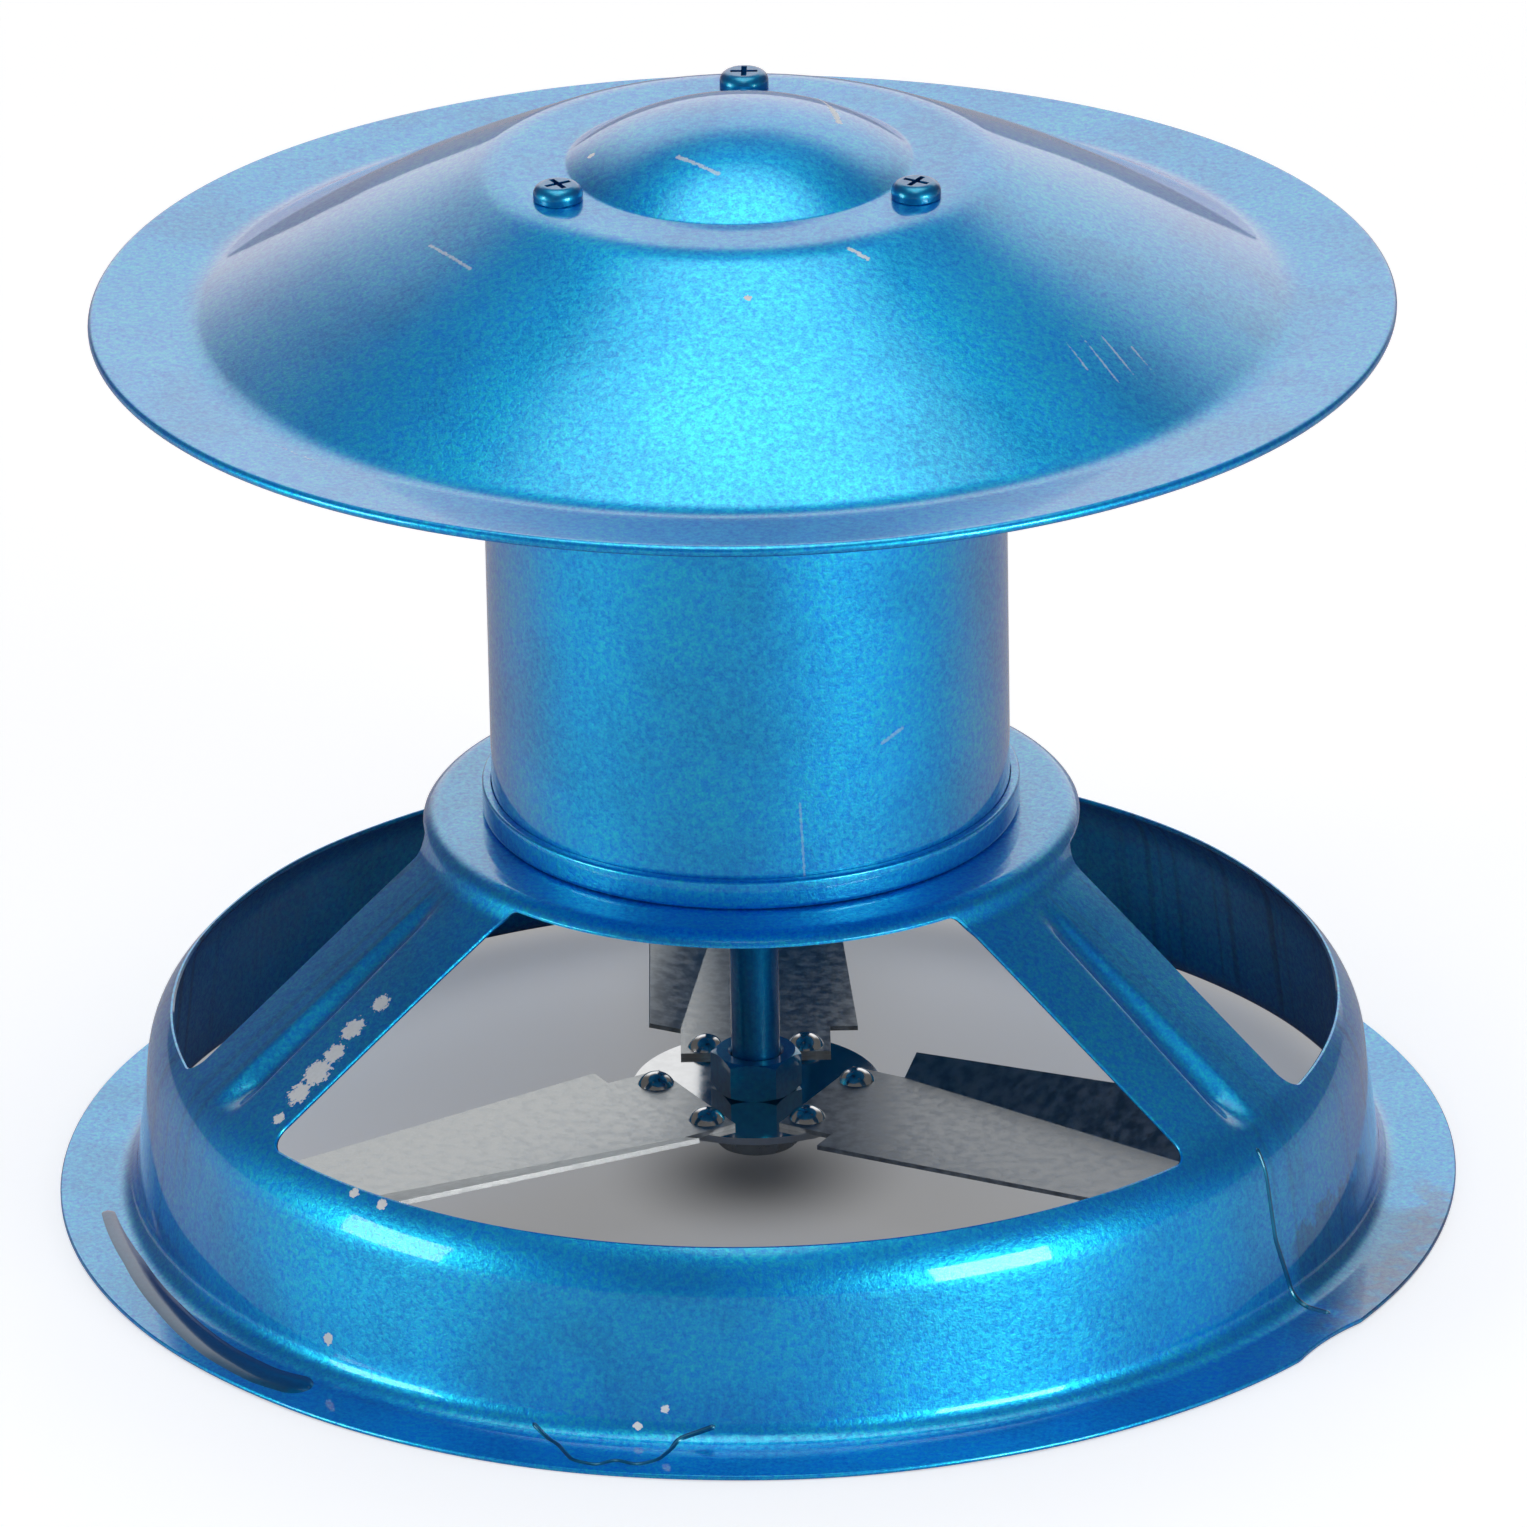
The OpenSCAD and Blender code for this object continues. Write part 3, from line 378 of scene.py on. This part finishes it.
def base_mesh():
    """Plan grid of the base: rings round the collar, three legs, rings round wall and flange.

    The legs' sides are straight, 30.7 apart, and run into collar and sill by arcs of radius 4 and
    2.5. At a plan radius r, the arc with its centre at distance d and direction a from the leg has
    its edge at the angle a - acos((r^2 + d^2 - R^2) / (2 r d)). Each rim is rounded by BEVEL.
    """
    BEVEL, TOP, SILL, HALF, ACROSS, WIDE = 0.2, 53.7, 95.7, 15.35, 48, 64
    run = lambda r: np.interp(r, base_r, base_path[0])
    radius = lambda s: at(base_path, s)[0][:, 0]
    arcs = {}
    for key, ring, r, sign in (("top", TOP, 4.0, 1), ("sill", SILL, 2.5, -1)):
        d, y = ring + sign * r, HALF + r
        centre = np.array((math.sqrt(d * d - y * y), y))
        start, end = math.atan2(-1, 0), math.atan2(*(-sign * centre)[::-1])
        turns = np.linspace(end, start + (2 * math.pi if end - start > math.pi else 0), 9)
        inward = np.stack([np.cos(turns), np.sin(turns)], 1)
        arcs[key] = (centre + inward * r, inward)
    straight = np.linspace(arcs["top"][0][-1, 0], arcs["sill"][0][-1, 0], 46)[1:-1]
    side = np.concatenate([arcs["top"][0], np.stack([straight, straight * 0 + HALF], 1), arcs["sill"][0][::-1]])
    inward = np.concatenate([arcs["top"][1], np.tile([[0.0, -1.0]], (44, 1)), arcs["sill"][1][::-1]])
    edge = side + inward * BEVEL
    edge_a, edge_r, row_r = np.arctan2(edge[:, 1], edge[:, 0]), np.hypot(*edge.T), np.hypot(*side.T)

    u = np.linspace(-1, 1, ACROSS + 1)
    leg_xy = []
    for k in range(3):
        turn = math.radians(90 + 120 * k)
        angle = turn + edge_a[:, None] * u
        r = row_r[:, None] + (edge_r - row_r)[:, None] * np.abs(u) ** 8
        leg_xy.append(np.stack([r * np.cos(angle), r * np.sin(angle)], -1))

    def ring_columns(half):
        wide = np.linspace(half, 2 * math.pi / 3 - half, WIDE + 1)[1:-1]
        one = np.concatenate([u * half, wide])
        return np.concatenate([math.radians(90 + 120 * k) + one for k in range(3)])

    per = ACROSS + WIDE
    is_leg = np.tile(np.arange(per) <= ACROSS, 3)
    inner_r = radius(rows(base_path, 0.0, run(TOP), 2.5))
    outer_r = radius(rows(base_path, run(SILL), base_path[0][-1], 1.6, 4.0))
    inner_r[0] += BEVEL
    outer_r[-1] -= BEVEL
    blocks = []
    for radii, half, row, shift in ((inner_r, edge_a[0], -1, -BEVEL), (outer_r, edge_a[-1], 0, BEVEL)):
        angle = ring_columns(half)
        r = np.tile(radii[:, None], (1, len(angle)))
        leg_r = np.concatenate([np.hypot(*leg_xy[0][row if row == 0 else 0].T)] * 3)
        r[row] = np.where(is_leg, 0, radii[row] + shift)
        for k in range(3):
            leg_row = leg_xy[k][0 if row == -1 else -1]
            r[row, k * per : k * per + ACROSS + 1] = np.hypot(*leg_row.T)
        blocks.append(np.stack([r * np.cos(angle), r * np.sin(angle)], -1))

    xy, grids = [], []
    count = 0
    for b in blocks:
        grids.append(np.arange(b[..., 0].size).reshape(b.shape[:2]) + count)
        count += b[..., 0].size
        xy.append(b.reshape(-1, 2))
    inner, outer = grids
    legs = []
    for k in range(3):
        body = leg_xy[k][1:-1]
        ids = np.arange(body[..., 0].size).reshape(body.shape[:2]) + count
        count += body[..., 0].size
        xy.append(body.reshape(-1, 2))
        cols = slice(k * per, k * per + ACROSS + 1)
        legs.append(np.concatenate([inner[-1:, cols], ids, outer[:1, cols]]))
    xy = np.concatenate(xy)
    faces = quads(wrapped(inner)) + quads(wrapped(outer))
    for ids in legs:
        faces += quads(ids)
    top = base_point(xy, 0.0)
    bottom = base_point(xy, SHEET)
    points = [top, bottom]
    total = 2 * len(xy)
    faces += [[v + len(xy) for v in f[::-1]] for f in faces]

    loops = []
    for ring, out in ((inner[0][::-1], -BEVEL), (outer[-1], BEVEL)):
        p = xy[ring]
        loops.append((ring, p + p / np.hypot(*p.T)[:, None] * out))
    for k in range(3):
        nxt, first = (k + 1) % 3, k * per + ACROSS
        gap = [(first + j) % (3 * per) for j in range(WIDE + 1)]
        a, b = math.radians(90 + 120 * k), math.radians(90 + 120 * nxt)
        right = side[1:-1] @ np.array([[math.cos(a), math.sin(a)], [-math.sin(a), math.cos(a)]])
        left = (side * (1, -1))[1:-1] @ np.array([[math.cos(b), math.sin(b)], [-math.sin(b), math.cos(b)]])
        upper, lower = xy[inner[-1, gap]], xy[outer[0, gap]]
        upper = upper / np.hypot(*upper.T)[:, None] * TOP
        lower = lower / np.hypot(*lower.T)[:, None] * SILL
        ids = np.concatenate([inner[-1, gap], legs[nxt][1:-1, 0], outer[0, gap][::-1], legs[k][1:-1, -1][::-1]])
        loops.append((ids, np.concatenate([upper, left, lower[::-1], right[::-1]])))
    for ids, rim in loops:
        high, low = base_point(rim, BEVEL), base_point(rim, SHEET - BEVEL)
        n = len(ids)
        strip = np.stack([ids, np.arange(n) + total, np.arange(n) + total + n, ids + len(xy)])
        points += [high, low]
        total += 2 * n
        faces += quads(wrapped(strip), flip=True)
    return np.concatenate(points), faces


def on_base(r, azimuth):
    return tuple(base_point(np.array([polar(r, azimuth)[:2]]), 0.0)[0].tolist())


def base_painted_shade_and_drains(place):
    """Painted shade on the inward faces, where little light reaches; a drained patch and vertical drain marks beside
    the right leg.
    """
    angle = place.part("Y").math("ARCTAN2", place.part("X")) * (180 / math.pi)
    z = place.part("Z")
    outward = place.node("ShaderNodeTexCoord", out="Normal").vector("DOT_PRODUCT",
        place.vector("MULTIPLY", (1.0, 1.0, 0.0)).vector("NORMALIZE", (0.0, 0.0, 0.0)), out="Value")
    # Painted shade: inward faces of the base are darkened by 0.62 because little light reaches them.
    painted_shade_inward = (outward * -1.0).step(0.2, 0.5) * 0.62
    ragged = place.noise(0.25, 3.0, 0.6)
    patch = angle.band(-26.0, -9.0, 3.0) * (z + (ragged - 0.5) * 12.0).band(-5.0, 11.0, 2.0) * 0.45
    drained = place.node("ShaderNodeCombineXYZ", {0: angle, 1: z * 0.012, 2: 0.0}).noise(0.55, 2.0)
    sides = angle.band(-28.0, 60.0, 4.0) + angle.band(150.0, 175.0, 6.0) + angle.band(-178.0, -150.0, 6.0)
    return painted_shade_inward + patch + drained.step(0.5, 0.75) * sides * z.band(6.0, 60.0, 4.0) * 0.35


def base_stain(place):
    """Brown film on the flange's right rim."""
    angle = place.part("Y").math("ARCTAN2", place.part("X")) * (180 / math.pi)
    flat = place.vector("MULTIPLY", (1.0, 1.0, 0.0)).vector("LENGTH", (0.0, 0.0, 0.0), out="Value")
    blotch = place.noise(0.3, 2.0).step(0.35, 0.6)
    return angle.band(-29.0, -4.0, 6.0) * flat.step(106.0, 111.0) * blotch * 0.35


base_chips = [(on_base(72.0, -142.2), 2.0), (on_base(76.9, -143.0), 2.6), (on_base(80.9, -142.4), 2.4),
    (on_base(84.3, -142.4), 3.2), (on_base(87.8, -142.4), 2.6), (on_base(92.1, -142.1), 1.4),
    (on_base(96.4, -127.5), 1.1), (on_base(96.6, -123.9), 1.1), (on_base(102.0, -128.3), 1.3),
    (on_base(102.1, -94.2), 0.9), (on_base(102.7, -96.6), 0.9)]
# The base's darkening holds painted shade on its inward faces besides the drain marks.
base_paint = paint("blue_paint_base", base_chips, dark=base_painted_shade_and_drains, stain=base_stain)
points, faces = base_mesh()
base = build("base_pressing", points, faces, base_paint, "housing", ["base_shell"], sharp=50)


# Paint runs on the base: thick beads of paint that gathered at the wall's foot and dried there. The
# paths are read off the photograph as radius and azimuth, with the bead's width at both ends.
def bead(name, path, width, height, mat):
    """A low ridge along a path of (radius, azimuth) points on the base's upper face.

    Across the path the height falls as 1 - t^2, with t from -1 to 1 over the width, and at both
    ends the width closes as a half circle.
    """
    path = np.array(path, float)
    s = np.interp(path[:, 0], base_r, base_path[0])
    turn = np.radians(path[:, 1])
    run = np.concatenate([[0], np.cumsum(np.hypot(np.diff(s), np.diff(turn) * path[1:, 0]))])
    count = max(24, int(run[-1] * 2.5))
    fine = np.linspace(0, run[-1], count)
    knots = np.stack([np.interp(fine, run, v) for v in (s, turn)], 1)
    for _ in range(max(2, count // 14)):
        knots[1:-1] = (knots[:-2] + 2 * knots[1:-1] + knots[2:]) / 4
    r = np.interp(knots[:, 0], base_path[0], base_r)
    step = np.gradient(np.stack([knots[:, 0], knots[:, 1] * r.mean()], 1), axis=0)
    side = np.stack([-step[:, 1], step[:, 0]], 1) / np.linalg.norm(step, axis=1, keepdims=True)
    half = np.linspace(width[0], width[1], count) / 2
    end = np.minimum(fine, run[-1] - fine)
    half = half * np.sqrt(np.clip(1 - (1 - np.clip(end / np.maximum(half, 0.1), 0, 1)) ** 2, 0.02, 1))
    t = np.linspace(-1, 1, 11)
    across = half[:, None] * t
    s2 = knots[:, :1] + side[:, :1] * across
    a2 = knots[:, 1:] + side[:, 1:] * across / r[:, None]
    r2 = np.interp(s2, base_path[0], base_r)
    tall = height * (1 - t**2) * (half / half.max())[:, None] - 0.03
    xy = np.stack([r2 * np.cos(a2), r2 * np.sin(a2)], -1).reshape(-1, 2)
    points = base_point(xy, -tall.reshape(-1))
    made = build(name, points, quads(np.arange(len(points)).reshape(count, 11)), mat, "housing")
    return made


pooled_paint = paint("blue_paint_pooled", depth=0.3, grain=0.1)
bead("run_flange_left", [(107.6, -168.8), (107.2, -162.7), (107.0, -157.8), (108.0, -147.7), (109.7, -138.1),
    (109.9, -131.9), (108.3, -127.3)], (2.4, 7.0), 0.6, pooled_paint)
bead("sag_front", [(103.4, -106.2), (107.2, -103.1), (112.1, -101.1), (113.0, -99.0), (110.6, -97.7),
    (112.0, -95.8), (109.8, -94.2), (103.8, -93.0), (102.5, -89.7)], (0.8, 0.9), 0.35, pooled_paint)
bead("run_right", [(98.0, -30.6), (101.2, -30.3), (102.3, -28.9), (105.0, -28.6), (109.7, -28.7)], (0.9, 1.3),
    0.4, pooled_paint)


# Cap: one pressing with a dome, a shelf for the screws, a slightly bulged cone and a hemmed brim.
# The brim of the real one is a little warped: higher in front, lower at the back.
def revolve(rows_rz, columns, warp=None):
    """Points and grid of a surface of revolution; a row on the axis shares one vertex."""
    angle = np.linspace(0, 2 * math.pi, columns, endpoint=False)
    r, z = np.repeat(rows_rz[:, :1], columns, 1), np.repeat(rows_rz[:, 1:], columns, 1)
    if warp:
        z = z + warp(r, angle)
    points = np.stack([r * np.cos(angle), r * np.sin(angle), z], -1).reshape(-1, 3)
    ids = np.arange(len(points)).reshape(len(rows_rz), columns)
    for k in np.flatnonzero(rows_rz[:, 0] < 1e-6):
        ids[k] = ids[k, 0]
    return points, wrapped(ids)


def cap_warp(r, angle):
    """Tilt of the brim, growing from the shelf outwards, with low waves of the pressing."""
    grow = np.clip((r - 40) / 65, 0, 1) ** 1.5
    tilt = -1.25 * np.sin(angle - math.radians(4.5)) * grow
    return tilt + grow * (0.12 * np.sin(3 * angle + 0.7) + 0.07 * np.sin(7 * angle + 2.0))


dome_r = (56.0**2 / 4 + 8.4**2) / (2 * 8.4)
brim, shelf = np.array((89.0, 153.6)), np.array((39.5, 178.6))
middle = (brim + shelf) / 2 + np.array((25.0, 49.5)) / np.hypot(25.0, 49.5) * 0.7
cap_path = fold([(0, 187), (dome_r * math.tan(math.asin(28 / dome_r) / 2), 187), (28, 178.6), shelf, middle,
    brim, (105.2, 154.4), (105.2, 152.6), (101.2, 152.4)], [dome_r - 1.8, 1.5, 14, 300, 9, 0.9, 0.9])
s = rows(cap_path, 0.0, cap_path[0][-1], 2.2, 4.0)
p, n = at(cap_path, s)
rz = np.concatenate([p, (p - n * SHEET)[::-1]])
rz[[0, -1], 0] = 0.0
points, ids = revolve(rz, 288, cap_warp)
cap_scratches = [(polar(16.0, 7.5, 184.4), polar(17.0, 34.0, 184.1), 0.7, 0.9),
    (polar(17.0, 34.0, 184.1), polar(22.0, 62.0, 182.0), 0.5, 0.8),
    (polar(16.2, -122.7, 184.4), polar(18.6, -96.3, 183.5), 0.5, 0.6),
    (polar(41.0, -60.8, 177.9), polar(43.5, -58.3, 176.7), 0.5, 0.8),
    (polar(52.8, -154.8, 172.3), polar(52.2, -140.9, 172.6), 0.4, 0.5),
    (polar(93.2, -138.0, 153.9), polar(93.4, -128.6, 153.9), 0.5, 0.6)]
cap_scratches += [(polar(62.0 + 4 * k, -36.0 + 2.2 * k, 167.6 - 1.9 * k), polar(74.0 + 4 * k, -38.5 + 2.2 * k,
    161.9 - 1.9 * k), 0.25, 0.35) for k in range(5)]
cap_chips = [(polar(48.6, -84.4, 174.3), 0.7), (polar(24.0, -168.0, 181.2), 0.8)]
cap_paint = paint("blue_paint_cap", cap_chips, cap_scratches)
cap = build("cap_pressing", points, quads(ids, flip=True), cap_paint, "housing", ["cap"], sharp=60)


# Motor tube and the rim of its lower end cover. A square of the tube is left open behind the
# grommet's lip, which hides it.
def tube_point(r, angle, z):
    """Points of the tube, with two shallow dents beside the scratch at the front."""
    dent = np.zeros_like(angle)
    for a, h, w, d in ((-52.0, 93.0, 6.0, 0.12), (-74.0, 78.0, 8.0, 0.06)):
        away = np.hypot((angle - math.radians(a)) * 42, z - h) / w
        dent += d * np.exp(-away * away)
    r = r - dent
    return np.stack([r * np.cos(angle), r * np.sin(angle), z], -1)


columns = np.radians(124 + np.linspace(-180, 180, 241)[:-1])
levels = np.unique(np.concatenate([np.linspace(68.1, 84.0, 9), np.linspace(84.0, 93.0, 7), np.linspace(93.0, 174.0, 28)]))
profile = np.concatenate([[[41.3, 68.1], [42.1, 68.1], [42.3, 68.3]], [[42.3, z] for z in levels[1:-1]],
    [[42.3, 173.8], [42.1, 174.0], [41.3, 174.0]], [[41.3, z] for z in levels[1:-1][::-1]]])
angle = np.tile(columns, (len(profile), 1))
points = tube_point(np.repeat(profile[:, :1], 240, 1), angle, np.repeat(profile[:, 1:], 240, 1)).reshape(-1, 3)
ids = wrapped(np.arange(len(points)).reshape(len(profile), 240))
ids = np.concatenate([ids, ids[:1]])
faces = []
for face in quads(ids):
    middle = points[face].mean(0)
    a = math.degrees(math.atan2(middle[1], middle[0])) - 124
    if abs((a + 180) % 360 - 180) > 6.1 or abs(middle[2] - 88.5) > 4.5:
        faces.append(face)
tube_scratches = [(polar(42.3, -55.4, 92.4), polar(42.3, -50.0, 94.0), 0.4, 0.25),
    (polar(42.3, -74.9, 84.2), polar(42.3, -74.1, 71.0), 0.25, 0.2)]
tube_paint = paint("blue_paint_tube", scratches=tube_scratches)
tube = build("motor_tube", points, faces, tube_paint, "housing", ["casing"], sharp=50)

rim_path = fold([(30.0, 66.54), (43.85, 66.54), (43.85, 71.55), (42.36, 71.55), (42.36, 70.0)][::-1], [0.15, 0.5, 1.0])
s = rows(rim_path, 0.0, rim_path[0][-1], 1.5, 10.0)
points, ids = revolve(at(rim_path, s)[0], 240)
rim = build("cover_rim", points, quads(ids), paint("blue_paint_rim"), "housing", sharp=60)


# Bare metal: galvanised blades, one of them in a darker copy of the sheet that is painted shade,
# polished hub plate and rivets, zinc nuts and washers, and the motor's inner parts.
def metal(name, colour, rough, mottle=0.1, scale=0.6, grain=0.02, metallic=1.0):
    made, place = material(name)
    spots = place.noise(scale, 3.0, 0.6)
    light = spots.step(0.3, 0.7, 1.0 - mottle, 1.0 + mottle)
    base = light.node("ShaderNodeCombineXYZ", {0: light, 1: light, 2: light}).vector("MULTIPLY", colour)
    shader = place.principled(Base_Color=base, Metallic=metallic, Roughness=spots.step(0.3, 0.7, rough * 0.8, rough * 1.2),
        Normal=spots.bump(grain, 0.5))
    return finish_material(made, shader)


looks = {
    "blue_paint": paint("blue_paint_small", depth=0.6, grain=0.4),
    "cast_aluminium": metal("cast_aluminium", (0.55, 0.56, 0.58), 0.5, 0.15, 1.5, 0.05),
    "zinc": metal("zinc", (0.62, 0.62, 0.60), 0.32, 0.08, 1.0),
    "rivet_steel": metal("rivet_steel", (0.80, 0.80, 0.80), 0.15, 0.05, 0.8),
    "polished_steel": metal("polished_steel", (0.66, 0.67, 0.68), 0.1, 0.05, 0.3, 0.01),
    "galvanised_sheet": metal("galvanised_sheet", (0.58, 0.60, 0.60), 0.38, 0.18, 0.5, 0.02),
    # Painted shade: a darker copy of the galvanised sheet, for the blade whose angle to the light makes it look
    # darker.
    "blade_painted_shade": metal("blade_painted_shade", (0.36, 0.38, 0.40), 0.42, 0.22, 0.5, 0.02),
    "lamination_steel": metal("lamination_steel", (0.30, 0.31, 0.33), 0.5, 0.1, 1.0, 0.02),
    "enamelled_copper": metal("enamelled_copper", (0.66, 0.33, 0.18), 0.35, 0.2, 2.0, 0.08),
    "black_rubber": metal("black_rubber", (0.03, 0.03, 0.032), 0.7, 0.1, 1.0, 0.02, 0.0),
    "bearing_steel": metal("bearing_steel", (0.72, 0.73, 0.75), 0.12, 0.04, 1.0),
}
slots = {part["node"]: part["material_slot"] for part in frame["record"]["subparts"]}
for name, node in frame["nodes"].items():
    node.data.materials.clear()
    # fan_blade_3 takes the darker copy of the galvanised sheet, painted shade.
    node.data.materials.append(looks["blade_painted_shade" if name == "fan_blade_3" else slots[name]])
